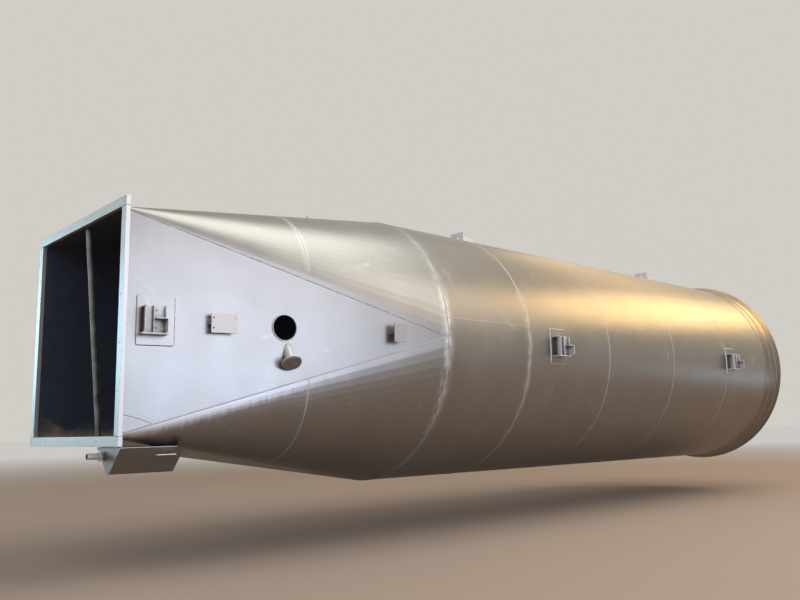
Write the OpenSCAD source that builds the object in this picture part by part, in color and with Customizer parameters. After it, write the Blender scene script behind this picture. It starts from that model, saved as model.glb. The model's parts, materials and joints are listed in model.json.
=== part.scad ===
// Square-to-round duct section: a channel-flanged square inlet, a sheet-metal
// transition of flat triangles and conical corners, and a long welded round
// shell that ends in a flared collar.
// The origin is the centre of the inlet flange's front face. +X runs along
// the duct axis towards the round outlet, +Z is up, and -Y is the near side,
// which carries the access hole, the nozzle and the small brackets.

/* [Inlet flange] */
// Outer side of the square inlet flange
flange_side = 3000; // [2400:10:3600]
// Face width of the flange channel
channel_face = 120; // [100:1:180]
// Depth of the flange channel
channel_depth = 55; // [40:1:90]
// Web thickness of the channel, which is the bolted face
channel_web = 7; // [5:1:14]
// Leg thickness of the channel
channel_leg = 9; // [5:1:14]
// Diameter of the flange bolt holes
flange_hole_d = 22; // [14:1:40]
// Bolt spaces along one side of the flange
flange_spaces = 5; // [4:1:9]

/* [Duct body] */
// Plate thickness of the transition and the shell
plate = 8; // [5:1:20]
// Length from the inlet face to the start of the round shell
transition_l = 4800; // [3600:10:6000]
// Share of the transition ahead of the corners' cross seam
seam_share = 0.515; // [0.4:0.005:0.6]
// Bend radius of the transition's corners at the inlet
corner_r = 30; // [20:1:120]
// Outer radius of the round shell
shell_r = 2200; // [1800:10:2600]
// Length of the short first shell course
first_course = 1960; // [1500:10:2400]
// Length of a full shell course
full_course = 2400; // [1800:10:3000]
// Length of the last shell course
last_course = 2010; // [1500:10:2400]

/* [Outlet flare] */
// How much the radius grows along the collar
collar_rise = 15; // [0:1:60]
// How much the radius grows along the flare
flare_rise = 30; // [5:1:80]
// How much the radius grows along the lip
lip_rise = 45; // [5:1:100]
// Length of the collar after the last shell course
collar_l = 290; // [150:5:500]
// Length of the flare
flare_l = 250; // [120:5:400]
// Length of the lip
lip_l = 170; // [80:5:300]
// Plate thickness of collar, flare and lip
collar_plate = 12; // [8:1:25]

/* [Side brackets] */
// Distance of the first bracket pad's centre from the inlet face
bracket_1_x = 435; // [300:5:700]
// Distance of the second bracket pad's centre behind the transition
bracket_2_back = 2755; // [2300:5:3900]
// Distance of the third bracket pad's centre ahead of the shell's end
bracket_3_ahead = 1820; // [500:5:1950]
// Length of the pad plate along the duct
pad_l = 450; // [400:5:520]
// Height of the pad plate
pad_h = 600; // [480:5:800]
// Thickness of the pad plate
pad_t = 16; // [8:1:25]
// Distance from the pad's front edge to the cleat
cleat_inset = 55; // [35:1:80]
// Reach of the stub from the pad to the cleat
stub_out = 95; // [80:1:200]
// Length of the cleat along the duct
cleat_w = 258; // [240:1:300]
// Height of the cleat
cleat_h = 330; // [280:1:420]
// Reach of the cleat's upright legs
cleat_leg = 50; // [30:1:100]
// Plate thickness of stub and cleat
cleat_t = 12; // [8:1:16]
// Clear width of the cleat's plain bay
plain_bay = 90; // [60:1:100]
// Reach of the bolted bay's shelf past the legs
mid_shelf_out = 95; // [20:1:140]
// Overhang of the bottom shelf past the cleat
shelf_over = 30; // [10:1:35]
// Thickness of the bottom shelf
shelf_t = 20; // [10:1:30]
// Diameter of the brackets' bolt holes
bracket_hole_d = 20; // [14:1:26]
// Distance along the duct between the cleat's bolt holes
cleat_hole_dx = 75; // [50:1:90]
// Distance up between the cleat's bolt holes
cleat_hole_dz = 215; // [180:1:240]

/* [Tee brackets] */
// Distance of the plate bracket's centre from the inlet face
plate_bracket_x = 1258; // [1000:5:1500]
// Length of the plate bracket along the duct
plate_bracket_l = 340; // [260:5:420]
// Height of the plate bracket's face plate
plate_bracket_h = 250; // [200:5:320]
// Reach of the plate bracket
plate_bracket_out = 110; // [60:1:160]
// Distance along the duct between the plate bracket's holes
plate_hole_dx = 282; // [180:1:300]
// Distance up between the plate bracket's holes
plate_hole_dz = 130; // [80:1:160]
// Distance of the small bracket's centre from the inlet face
small_bracket_x = 3840; // [3600:5:4000]
// Length of the small bracket along the duct
small_bracket_l = 200; // [120:5:260]
// Height of the small bracket's face plate
small_bracket_h = 270; // [200:5:320]
// Reach of the small bracket
small_bracket_out = 150; // [60:1:180]

/* [Openings and nozzles] */
// Distance of the access hole from the inlet face
access_x = 2120; // [1950:5:2300]
// Inner diameter of the access hole
access_d = 340; // [250:5:400]
// Wall of the access hole's rim
access_rim_w = 8; // [5:1:25]
// Reach of the rim from the panel
access_rim_out = 18; // [8:1:60]
// Distance of the branch nozzle from the inlet face
nozzle_x = 2170; // [2050:5:2300]
// Drop of the branch nozzle's root below the duct axis
nozzle_drop = 315; // [312:1:400]
// Slope of the branch nozzle below the level
nozzle_slope = 52; // [40:1:52]
// Outer diameter of the branch nozzle's pipe
nozzle_d = 127; // [60:1:130]
// Wall of the nozzles' pipes
nozzle_wall = 6; // [4:1:10]
// Length of the branch nozzle from root to cover
nozzle_l = 205; // [200:1:320]
// Diameter of the branch nozzle's flange
nozzle_flange_d = 266; // [200:1:270]
// Diameter of the blind cover
cover_d = 250; // [190:1:270]
// Thickness of the nozzle's flange and of the blind cover
nozzle_flange_t = 20; // [12:1:26]
// Distance of the top nozzle from the inlet face
top_nozzle_x = 3800; // [3400:5:4000]
// Outer diameter of the top nozzle
top_nozzle_d = 73; // [48:1:90]
// Reach of the top nozzle above the panel
top_nozzle_out = 155; // [60:5:250]

/* [Lifting lugs] */
// Distance of the first lug's cross plate behind the transition
lug_1_back = 2600; // [2400:5:3600]
// Distance of the second lug's cross plate ahead of the shell's end
lug_2_ahead = 1720; // [900:5:1900]
// Width of a lug's cross plate
lug_w = 340; // [260:5:420]
// Height of a lug's cross plate above the pad
lug_h = 240; // [200:5:320]
// Plate thickness of the lugs
lug_t = 25; // [15:1:40]
// Diameter of the eye in the cross plate
lug_eye_d = 100; // [60:1:120]
// Height of the eye's centre above the pad
lug_eye_z = 110; // [90:1:130]
// Length of a lug's side gussets
lug_gusset_l = 280; // [160:5:400]
// Height of a lug's side gussets
lug_gusset_h = 130; // [80:5:180]
// Thickness of the pad plate under a lug
lug_pad_t = 12; // [8:1:25]
// Margin of the pad plate round the lug
lug_pad_margin = 60; // [30:5:120]

/* [Inside and underneath] */
// Outer diameter of the upright brace inside the inlet
brace_d = 76; // [48:1:140]
// Distance of the brace's head from the inlet face
brace_top_x = 130; // [110:5:600]
// Distance of the brace's foot from the inlet face
brace_foot_x = 380; // [200:5:900]
// Length of the V trough under the inlet
trough_l = 815; // [700:5:1100]
// Width of the trough at its top
trough_w = 680; // [520:10:760]
// Gap from the flange's bottom edge down to the trough
trough_gap = 18; // [10:1:40]
// Depth at which the trough's sides would meet below its bend
trough_depth = 333; // [290:1:400]
// Outer radius of the bend along the trough's bottom
trough_bend_r = 60; // [30:1:80]
// Distance of the trough's middle from the duct axis towards the near side
trough_y = 1110; // [1000:5:1150]
// Plate thickness of the trough
trough_t = 8; // [5:1:10]
// Width of the tongue that holds the trough's front plate to the flange
tongue_w = 400; // [200:10:480]
// Outer diameter of the trough's drain pipe
drain_d = 76; // [48:1:80]
// Wall of the drain pipe
drain_wall = 5; // [3:1:8]
// Reach of the drain pipe from the trough's front
drain_out = 190; // [100:5:300]
// Distance of the drain pipe from the trough's middle
drain_off = 165; // [100:5:170]
// Drop of the drain pipe below the trough's top
drain_drop = 95; // [90:1:100]
// Diameter of the ring on the drain pipe
drain_ring_d = 130; // [100:1:150]
// Thickness of the ring on the drain pipe
drain_ring_t = 14; // [8:1:20]
// Distance of the ring from the trough's front
drain_ring_off = 45; // [20:1:80]
// Distance of the shelf plate from the trough's front
trough_shelf_x = 455; // [100:5:500]
// Length of the shelf plate on the trough
trough_shelf_l = 250; // [150:5:400]
// Reach of the shelf plate on the trough
trough_shelf_out = 80; // [40:1:120]
// Drop of the shelf plate below the trough's top
trough_shelf_drop = 85; // [60:1:150]

/* [Hidden] */
$fn = 96;

steel = [0.72, 0.71, 0.68];
half_side = flange_side / 2;
wall_half = half_side - channel_face + channel_leg;
hole_pitch = (flange_side - channel_face) / flange_spaces;
seat_gap = 0.3;
corner_steps = 24;
eps = 1;

// Places along the duct axis
seam_x = transition_l * seam_share;
course_ends = [
    transition_l,
    transition_l + first_course,
    transition_l + first_course + full_course,
    transition_l + first_course + 2 * full_course,
    transition_l + first_course + 3 * full_course,
    transition_l + first_course + 3 * full_course + last_course
];
shell_end = course_ends[5];
collar_r = shell_r + collar_rise;
flare_r = collar_r + flare_rise;
lip_r = flare_r + lip_rise;
bracket_2_x = transition_l + bracket_2_back;
bracket_3_x = shell_end - bracket_3_ahead;
lug_1_x = transition_l + lug_1_back;
lug_2_x = shell_end - lug_2_ahead;
collar_end = shell_end + collar_l;
flare_end = collar_end + flare_l;
duct_end = flare_end + lip_l;

// The near side panel's plane runs from the channel's inner leg, on which
// the duct's wall stands, to the side of the shell
panel_run = transition_l - channel_depth;
panel_rise = shell_r - wall_half;
panel_angle = atan2(panel_rise, panel_run);
function panel_y(x) = wall_half + panel_rise * (x - channel_depth) / panel_run;

// A ruling of the corner: its point at angle a, on the skin that lies
// inset below the outer face, at the share s of the run from flange to shell
function ruling(a, inset, s) =
    let (
        centre = (wall_half - corner_r) * (1 - s),
        r = (corner_r - inset) * (1 - s) + (shell_r - inset) * s
    )
    [channel_depth + panel_run * s, -centre - r * cos(a), centre + r * sin(a)];

// Channel of the inlet flange along Y: the web is the bolted front face
module flange_channel(length, hole_places, end_plate) {
    hollow = length - 2 * end_plate;
    difference() {
        translate([0, -length / 2, -channel_face / 2])
            cube([channel_depth, length, channel_face]);
        translate([channel_web, -hollow / 2 - eps, -channel_face / 2 + channel_leg])
            cube([channel_depth, hollow + 2 * eps, channel_face - 2 * channel_leg]);
        for (y = hole_places)
            translate([-eps, y, 0])
                rotate([0, 90, 0])
                    cylinder(d = flange_hole_d, h = channel_web + 2 * eps);
    }
}

// The long channels carry the corner holes and have closed ends, and the
// upright ones fit between them
all_places = [for (i = [0 : flange_spaces]) (i - flange_spaces / 2) * hole_pitch];
inner_places = [for (i = [1 : flange_spaces - 1]) (i - flange_spaces / 2) * hole_pitch];

module inlet_flange_top() {
    color(steel)
        translate([0, 0, half_side - channel_face / 2])
            flange_channel(flange_side, all_places, channel_leg);
}

module inlet_flange_bottom() {
    color(steel)
        translate([0, 0, -half_side + channel_face / 2])
            flange_channel(flange_side, all_places, channel_leg);
}

module inlet_flange_near() {
    color(steel)
        translate([0, -half_side + channel_face / 2, 0])
            rotate([90, 0, 0])
                flange_channel(flange_side - 2 * channel_face, inner_places, 0);
}

module inlet_flange_far() {
    color(steel)
        translate([0, half_side - channel_face / 2, 0])
            rotate([90, 0, 0])
                flange_channel(flange_side - 2 * channel_face, inner_places, 0);
}

// Flat triangle of the transition on the near side, from the flange to the
// shell's side. Its edges are the corners' first rulings.
module flat_panel() {
    points = [
        for (inset = [0, plate])
            for (p = [ruling(0, inset, 0), ruling(0, inset, 1)]) p,
        for (inset = [0, plate])
            let (p = ruling(0, inset, 0)) [p[0], p[1], -p[2]]
    ];
    // Points 0, 1: outer top edge. 2, 3: inner top edge. 4, 5: lower corner
    polyhedron(points, [[0, 4, 1], [2, 3, 5], [0, 2, 5, 4], [0, 1, 3, 2], [4, 5, 3, 1]]);
}

// Conical corner of the transition on the near side at the top, between the
// shares s0 and s1 of the run
module corner_cone(s0, s1) {
    n = corner_steps;
    angles = [for (i = [0 : n]) 90 * i / n];
    points = [
        for (s = [s0, s1])
            for (inset = [0, plate])
                for (a = angles) ruling(a, inset, s)
    ];
    // Rows of n + 1 points: outer front, inner front, outer rear, inner rear
    of0 = 0;
    if0 = n + 1;
    or0 = 2 * (n + 1);
    ir0 = 3 * (n + 1);
    polyhedron(points, concat(
        [for (i = [0 : n - 1]) [of0 + i, or0 + i, of0 + i + 1]],
        [for (i = [0 : n - 1]) [of0 + i + 1, or0 + i, or0 + i + 1]],
        [for (i = [0 : n - 1]) [if0 + i, if0 + i + 1, ir0 + i]],
        [for (i = [0 : n - 1]) [if0 + i + 1, ir0 + i + 1, ir0 + i]],
        [for (i = [0 : n - 1]) [of0 + i, of0 + i + 1, if0 + i + 1, if0 + i]],
        [for (i = [0 : n - 1]) [or0 + i, ir0 + i, ir0 + i + 1, or0 + i + 1]],
        [[of0, if0, ir0, or0], [of0 + n, or0 + n, ir0 + n, if0 + n]]
    ));
}

// Cutter square to the near side panel at a place along the duct
module on_near_panel(x, z = 0) {
    translate([x, -panel_y(x), z])
        rotate([90, 0, -panel_angle])
            children();
}

// Cylinder along the branch nozzle's axis, from behind the panel outwards
module nozzle_bar(d, start, end) {
    on_near_panel(nozzle_x, -nozzle_drop)
        rotate([nozzle_slope, 0, 0])
            translate([0, 0, start])
                cylinder(d = d, h = end - start);
}

module near_side_panel() {
    color(steel)
        difference() {
            flat_panel();
            on_near_panel(access_x)
                translate([0, 0, -2 * plate])
                    cylinder(d = access_d, h = 4 * plate);
            nozzle_bar(nozzle_d - 2 * nozzle_wall, -nozzle_d, nozzle_d);
        }
}

module far_side_panel() {
    color(steel) mirror([0, 1, 0]) flat_panel();
}

module top_panel() {
    color(steel) rotate([-90, 0, 0]) flat_panel();
}

module bottom_panel() {
    color(steel) rotate([90, 0, 0]) flat_panel();
}

front_end = (seam_x - channel_depth) / panel_run;

module front_corner_near_top() {
    color(steel) corner_cone(0, front_end);
}

module front_corner_far_top() {
    color(steel) mirror([0, 1, 0]) corner_cone(0, front_end);
}

module front_corner_near_bottom() {
    color(steel) mirror([0, 0, 1]) corner_cone(0, front_end);
}

module front_corner_far_bottom() {
    color(steel) mirror([0, 1, 0]) mirror([0, 0, 1]) corner_cone(0, front_end);
}

module rear_corner_near_top() {
    color(steel) corner_cone(front_end, 1);
}

module rear_corner_far_top() {
    color(steel) mirror([0, 1, 0]) corner_cone(front_end, 1);
}

module rear_corner_near_bottom() {
    color(steel) mirror([0, 0, 1]) corner_cone(front_end, 1);
}

module rear_corner_far_bottom() {
    color(steel) mirror([0, 1, 0]) mirror([0, 0, 1]) corner_cone(front_end, 1);
}

// Rolled plate course of the round shell, from course end i - 1 to i
module shell_course(i) {
    color(steel)
        translate([course_ends[i - 1], 0, 0])
            rotate([0, 90, 0])
                difference() {
                    cylinder(r = shell_r, h = course_ends[i] - course_ends[i - 1]);
                    translate([0, 0, -eps])
                        cylinder(r = shell_r - plate, h = full_course * 2);
                }
}

// Ring of the outlet between two stations, each a radius and a place
module outlet_ring(r0, x0, r1, x1) {
    color(steel)
        rotate([0, 90, 0])
            rotate_extrude()
                polygon([[r0, x0], [r1, x1], [r1 - collar_plate, x1], [r0 - collar_plate, x0]]);
}

module outlet_collar() {
    outlet_ring(shell_r, shell_end, collar_r, collar_end);
}

module outlet_flare() {
    outlet_ring(collar_r, collar_end, flare_r, flare_end);
}

module outlet_lip() {
    outlet_ring(flare_r, flare_end, lip_r, duct_end);
}

// Places a side bracket on the near side, its back on the duct's wall. The
// first stands on the flat panel, the others on the round shell.
module at_bracket(i) {
    places = [bracket_1_x, bracket_2_x, bracket_3_x];
    if (i == 1)
        on_near_panel(places[0]) children();
    else
        translate([places[i - 1], -shell_r, 0]) rotate([90, 0, 0]) children();
}

// Copy on the near and on the far side
module both_sides() {
    children();
    mirror([0, 1, 0]) children();
}

// Pad plate against the wall: flat on the panel, and rolled on the shell
module pad_flat() {
    translate([-pad_l / 2, -pad_h / 2, 0]) cube([pad_l, pad_h, pad_t]);
}

module pad_rolled(x) {
    half_angle = asin(pad_h / 2 / shell_r);
    translate([x - pad_l / 2, 0, 0])
        rotate([0, 90, 0])
            rotate([0, 0, -90 - half_angle])
                rotate_extrude(angle = 2 * half_angle, $fn = 720)
                    translate([shell_r + seat_gap, 0]) square([pad_t, pad_l]);
}

module bracket_pads_1() {
    color(steel) both_sides() at_bracket(1) pad_flat();
}

module bracket_pads_2() {
    color(steel) both_sides() pad_rolled(bracket_2_x);
}

module bracket_pads_3() {
    color(steel) both_sides() pad_rolled(bracket_3_x);
}

// Stub with a top shelf, a web and a bottom shelf, and on its end an upright
// cleat: a back plate with three legs that make a plain bay and a bolted bay.
// The bolted bay has four holes and a shelf at its middle. X is along the
// duct, Y is up and Z is outwards from the pad. The stub reaches root below it.
module cleat_bracket(root = 0) {
    front = -pad_l / 2 + cleat_inset;
    face = stub_out + cleat_t;
    bolted_bay = cleat_w - plain_bay - 3 * cleat_t;
    bay_x = front + 2 * cleat_t + plain_bay;
    translate([front, cleat_h / 2 - cleat_t, -root])
        cube([cleat_w, cleat_t, stub_out + root]);
    translate([bay_x - cleat_t, -cleat_h / 2, -root])
        cube([cleat_t, cleat_h, stub_out + root]);
    translate([front - shelf_over, -cleat_h / 2 - shelf_t, -root])
        cube([cleat_w + 2 * shelf_over, shelf_t, face + cleat_leg + root]);
    difference() {
        translate([front, -cleat_h / 2, stub_out]) cube([cleat_w, cleat_h, cleat_t]);
        for (x = [-1, 1])
            for (y = [-1, 1])
                translate([bay_x + bolted_bay / 2 + x * cleat_hole_dx / 2,
                    y * cleat_hole_dz / 2, stub_out - eps])
                    cylinder(d = bracket_hole_d, h = cleat_t + 2 * eps);
    }
    for (x = [front, bay_x - cleat_t, front + cleat_w - cleat_t])
        translate([x, -cleat_h / 2, face]) cube([cleat_t, cleat_h, cleat_leg]);
    translate([bay_x, -cleat_t / 2, face])
        cube([bolted_bay + cleat_t, cleat_t, cleat_leg + mid_shelf_out]);
    translate([front + cleat_w - cleat_t, -cleat_h / 2, face])
        cube([cleat_t, cleat_h / 2, cleat_leg + mid_shelf_out]);
}

// Pair of side brackets on the round shell, their stubs cut to the pad's round
module round_bracket_pair(i) {
    seat = shell_r + seat_gap + pad_t;
    color(steel)
        difference() {
            both_sides() at_bracket(i) translate([0, 0, pad_t + seat_gap]) cleat_bracket(pad_t);
            rotate([0, 90, 0]) cylinder(r = seat + seat_gap, h = duct_end, $fn = 720);
        }
}

module side_brackets_1() {
    color(steel) both_sides() at_bracket(1) translate([0, 0, pad_t]) cleat_bracket();
}

module side_brackets_2() {
    round_bracket_pair(2);
}

module side_brackets_3() {
    round_bracket_pair(3);
}

// Tee bracket: a level shelf from the panel to an upright face plate
module tee_bracket(length, height, out) {
    translate([-length / 2, -cleat_t / 2, 0]) cube([length, cleat_t, out - cleat_t]);
    translate([-length / 2, -height / 2, out - cleat_t]) cube([length, height, cleat_t]);
}

module plate_bracket() {
    color(steel)
        on_near_panel(plate_bracket_x)
            difference() {
                tee_bracket(plate_bracket_l, plate_bracket_h, plate_bracket_out);
                for (x = [-1, 1])
                    for (y = [-1, 1])
                        translate([x * plate_hole_dx / 2, y * plate_hole_dz / 2,
                            plate_bracket_out - cleat_t - eps])
                            cylinder(d = bracket_hole_d, h = cleat_t + 2 * eps);
            }
}

module small_bracket() {
    color(steel)
        on_near_panel(small_bracket_x)
            tee_bracket(small_bracket_l, small_bracket_h, small_bracket_out);
}

module access_rim() {
    color(steel)
        on_near_panel(access_x)
            difference() {
                cylinder(d = access_d + 2 * access_rim_w, h = access_rim_out);
                translate([0, 0, -eps]) cylinder(d = access_d, h = access_rim_out + 2 * eps);
            }
}

// Sloping pipe with its flange, cut to the panel's outer face
module nozzle_pipe() {
    color(steel)
        intersection() {
            difference() {
                union() {
                    nozzle_bar(nozzle_d, -nozzle_d, nozzle_l);
                    nozzle_bar(nozzle_flange_d, nozzle_l - nozzle_flange_t, nozzle_l);
                }
                nozzle_bar(nozzle_d - 2 * nozzle_wall, -nozzle_d - eps, nozzle_l + eps);
            }
            on_near_panel(nozzle_x, -nozzle_drop)
                translate([-nozzle_l, -2 * nozzle_l, seat_gap])
                    cube([2 * nozzle_l, 4 * nozzle_l, 2 * nozzle_l]);
        }
}

module nozzle_cover() {
    color([0.4, 0.28, 0.2]) nozzle_bar(cover_d, nozzle_l, nozzle_l + nozzle_flange_t);
}

// Capped pipe on the top panel, cut to the panel's slope
module top_nozzle() {
    color(steel)
        translate([top_nozzle_x, 0, panel_y(top_nozzle_x)])
            rotate([0, -panel_angle, 0])
                translate([0, 0, seat_gap])
                    cylinder(d = top_nozzle_d, h = top_nozzle_out);
}

// Pad plate rolled onto the top of the shell under a lug
module lug_pad(x) {
    half_angle = asin((lug_w / 2 + lug_pad_margin) / shell_r);
    length = lug_gusset_l + lug_t + 2 * lug_pad_margin;
    translate([x - lug_pad_margin, 0, 0])
        rotate([0, 90, 0])
            rotate([0, 0, 180 - half_angle])
                rotate_extrude(angle = 2 * half_angle, $fn = 720)
                    translate([shell_r + seat_gap, 0]) square([lug_pad_t, length]);
}

module lug_pads() {
    color(steel) {
        lug_pad(lug_1_x);
        lug_pad(lug_2_x);
    }
}

// Lug: a cross plate with an eye, and two side gussets behind it, all cut to
// the round of the pad
module lug(x) {
    seat = shell_r + seat_gap + lug_pad_t;
    difference() {
        translate([x, -lug_w / 2, 0]) {
            translate([0, 0, seat - lug_t]) cube([lug_t, lug_w, lug_h + lug_t]);
            for (y = [0, lug_w - lug_t])
                translate([lug_t, y, seat - lug_t])
                    cube([lug_gusset_l, lug_t, lug_gusset_h + lug_t]);
        }
        translate([x - eps, 0, 0])
            rotate([0, 90, 0])
                cylinder(r = seat + seat_gap, h = lug_gusset_l + lug_t + 2 * eps, $fn = 720);
        translate([x - eps, 0, seat + lug_eye_z])
            rotate([0, 90, 0])
                cylinder(d = lug_eye_d, h = lug_t + 2 * eps);
    }
}

module lifting_lugs() {
    color(steel) {
        lug(lug_1_x);
        lug(lug_2_x);
    }
}

// Upright tube inside the inlet, cut to the inner faces of top and bottom
module inlet_brace() {
    run = brace_foot_x - brace_top_x;
    top_z = panel_y(brace_top_x) - plate;
    foot_z = panel_y(brace_foot_x) - plate;
    tilt = atan2(run, top_z + foot_z);
    color(steel)
        intersection() {
            translate([brace_foot_x, 0, -foot_z])
                rotate([0, -tilt, 0])
                    translate([0, 0, -brace_d])
                        cylinder(d = brace_d, h = top_z + foot_z + 4 * brace_d);
            inside_transition();
        }
}

// Space between the inner faces of the top and the bottom panel
module inside_transition() {
    x0 = channel_depth;
    x1 = seam_x;
    rotate([90, 0, 0])
        translate([0, 0, -brace_d])
            linear_extrude(2 * brace_d)
                polygon([
                    [x0, panel_y(x0) - plate - seat_gap], [x1, panel_y(x1) - plate - seat_gap],
                    [x1, -panel_y(x1) + plate + seat_gap], [x0, -panel_y(x0) + plate + seat_gap]
                ]);
}

// Where the trough starts, behind the flange, the height of its top, and
// where its lid meets the bottom panel
trough_x = channel_depth;
trough_z = -half_side - trough_gap;
trough_half = trough_w / 2;
lid_end = min(trough_x + trough_l,
    channel_depth + (-trough_z - trough_t - wall_half) / tan(panel_angle));
// Slope of the trough's sides and their angle from the upright
side_run = trough_half / trough_depth;
side_angle = atan(side_run);

// The bend is this much rounder than the sides need, so that it crosses them
bend_lap = 0.1;

// Solid V with a round bottom, its sides moved in by inset
module v_block(x, length, inset) {
    r = trough_bend_r - inset;
    side = inset / cos(side_angle);
    bend_z = trough_bend_r / sin(side_angle) - trough_depth;
    translate([x, -trough_y, trough_z])
        rotate([90, 0, 90])
            union() {
                linear_extrude(length)
                    polygon([
                        [-trough_half + side, 0], [trough_half - side, 0],
                        [r * cos(side_angle), bend_z - r * sin(side_angle)],
                        [-r * cos(side_angle), bend_z - r * sin(side_angle)]
                    ]);
                translate([0, bend_z, 0]) cylinder(r = r + bend_lap, h = length);
            }
}

// Space under the bottom panel
module under_panel() {
    rotate([90, 0, 0])
        linear_extrude(2 * half_side)
            polygon([
                [0, -panel_y(0) - seat_gap], [seam_x, -panel_y(seam_x) - seat_gap],
                [seam_x, -3 * half_side], [0, -3 * half_side]
            ]);
}

module trough() {
    color(steel)
        intersection() {
            difference() {
                v_block(trough_x + trough_t, trough_l - 2 * trough_t, 0);
                v_block(trough_x, trough_l, trough_t);
            }
            under_panel();
        }
}

// Lid of the trough
module trough_top() {
    color(steel)
        translate([trough_x, -trough_y - trough_half, trough_z])
            cube([lid_end - trough_x, trough_w, trough_t]);
}

// Front plate of the trough, and the tongue from the lid up to the flange
module trough_front_plate() {
    reach = -wall_half - trough_z;
    color(steel)
        difference() {
            v_block(trough_x, trough_t, 0);
            translate([0, -trough_y + drain_off, trough_z - drain_drop])
                rotate([0, 90, 0])
                    cylinder(d = drain_d - 2 * drain_wall, h = 2 * trough_x);
        }
    color(steel)
        intersection() {
            translate([trough_x, -trough_y - tongue_w / 2, trough_z + trough_t])
                cube([trough_t, tongue_w, reach - trough_t]);
            under_panel();
        }
}

module trough_rear_plate() {
    color(steel)
        intersection() {
            v_block(trough_x + trough_l - trough_t, trough_t, 0);
            under_panel();
        }
}

// Level shelf plate that stands out from the trough's near side
module trough_shelf() {
    drop = trough_shelf_drop;
    wall_at = trough_half - drop * side_run;
    lower_at = trough_half - (drop + cleat_t) * side_run;
    color(steel)
        translate([trough_x + trough_shelf_x, -trough_y, trough_z])
            rotate([90, 0, 90])
                linear_extrude(trough_shelf_l)
                    polygon([
                        [-wall_at - seat_gap, -drop], [-lower_at - seat_gap, -drop - cleat_t],
                        [-wall_at - trough_shelf_out, -drop - cleat_t],
                        [-wall_at - trough_shelf_out, -drop]
                    ]);
}

module drain_pipe() {
    ring_x = drain_out - drain_ring_off;
    color(steel)
        translate([trough_x - drain_out, -trough_y + drain_off, trough_z - drain_drop])
            rotate([0, 90, 0])
                difference() {
                    union() {
                        cylinder(d = drain_d, h = drain_out);
                        translate([0, 0, ring_x]) cylinder(d = drain_ring_d, h = drain_ring_t);
                    }
                    translate([0, 0, -eps])
                        cylinder(d = drain_d - 2 * drain_wall, h = drain_out + 2 * eps);
                }
}

inlet_flange_top();
inlet_flange_bottom();
inlet_flange_near();
inlet_flange_far();
near_side_panel();
far_side_panel();
top_panel();
bottom_panel();
front_corner_near_top();
front_corner_far_top();
front_corner_near_bottom();
front_corner_far_bottom();
rear_corner_near_top();
rear_corner_far_top();
rear_corner_near_bottom();
rear_corner_far_bottom();
shell_course(1);  // shell_course_1
shell_course(2);  // shell_course_2
shell_course(3);  // shell_course_3
shell_course(4);  // shell_course_4
shell_course(5);  // shell_course_5
outlet_collar();
outlet_flare();
outlet_lip();
bracket_pads_1();
bracket_pads_2();
bracket_pads_3();
side_brackets_1();
side_brackets_2();
side_brackets_3();
plate_bracket();
small_bracket();
access_rim();
nozzle_pipe();
nozzle_cover();
top_nozzle();
lug_pads();
lifting_lugs();
inlet_brace();
trough();
trough_top();
trough_front_plate();
trough_rear_plate();
trough_shelf();
drain_pipe();
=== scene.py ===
# Looks of a square-to-round duct section: silver painted steel plate, welded.
import json
import math

import bpy
from mathutils import Matrix, Vector

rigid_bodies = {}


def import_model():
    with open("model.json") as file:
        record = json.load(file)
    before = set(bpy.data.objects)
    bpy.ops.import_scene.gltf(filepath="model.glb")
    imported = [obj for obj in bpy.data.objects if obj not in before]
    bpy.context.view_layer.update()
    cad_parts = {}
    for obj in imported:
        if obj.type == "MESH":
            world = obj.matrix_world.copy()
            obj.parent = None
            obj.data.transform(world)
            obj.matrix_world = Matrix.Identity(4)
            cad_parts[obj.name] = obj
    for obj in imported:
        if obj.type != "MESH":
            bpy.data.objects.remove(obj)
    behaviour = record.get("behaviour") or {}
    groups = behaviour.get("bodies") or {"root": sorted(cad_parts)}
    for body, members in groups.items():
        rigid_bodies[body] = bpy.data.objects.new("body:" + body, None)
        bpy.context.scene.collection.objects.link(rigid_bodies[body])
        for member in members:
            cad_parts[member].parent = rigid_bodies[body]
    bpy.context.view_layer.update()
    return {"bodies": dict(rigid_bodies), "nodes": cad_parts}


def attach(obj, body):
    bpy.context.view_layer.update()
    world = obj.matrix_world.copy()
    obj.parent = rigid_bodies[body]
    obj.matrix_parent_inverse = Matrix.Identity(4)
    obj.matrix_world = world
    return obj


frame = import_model()

# Camera. It stands low on the near side, a little in front of the inlet, and
# looks up and along the duct through a short zoom lens.
camera_spot = (-3.826, -10.478, -1.350)
yaw, pitch, roll = 0.7445, 0.1605, -0.0205
camera_data = bpy.data.cameras.new("camera")
camera_data.sensor_width = 36.0
camera_data.lens = 35.55
camera_data.clip_end = 500.0
ahead = Vector((math.sin(yaw) * math.cos(pitch), math.cos(yaw) * math.cos(pitch), math.sin(pitch)))
level_right = Vector((math.cos(yaw), -math.sin(yaw), 0.0))
level_up = level_right.cross(ahead)
right = level_right * math.cos(roll) + level_up * math.sin(roll)
up = level_up * math.cos(roll) - level_right * math.sin(roll)
turn = Matrix((right, up, -ahead)).transposed().to_4x4()
camera = bpy.data.objects.new("camera", camera_data)
camera.matrix_world = Matrix.Translation(camera_spot) @ turn
bpy.context.scene.collection.objects.link(camera)
bpy.context.scene.camera = camera
bpy.context.scene.view_settings.view_transform = "Standard"

# Floor and backdrop. The duct hangs just clear of a plain floor of screed, which
# has painted shade, darker and browner, below the duct, and pales as it runs out into the backdrop.
floor_z = -3.03
floor_centre, floor_half = (10.0, 10.0), 200.0
under_duct = (8.0, 0.0, floor_z)
# Painted shade: the floor's colour near the duct, darker and browner than its own pale colour.
painted_shade_floor = (0.255, 0.187, 0.141, 1)
pale_screed = (0.74, 0.73, 0.71, 1)
backdrop_colour = (0.635, 0.612, 0.570, 1)
fill_colour = (1.0, 0.99, 0.97, 1)


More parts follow.
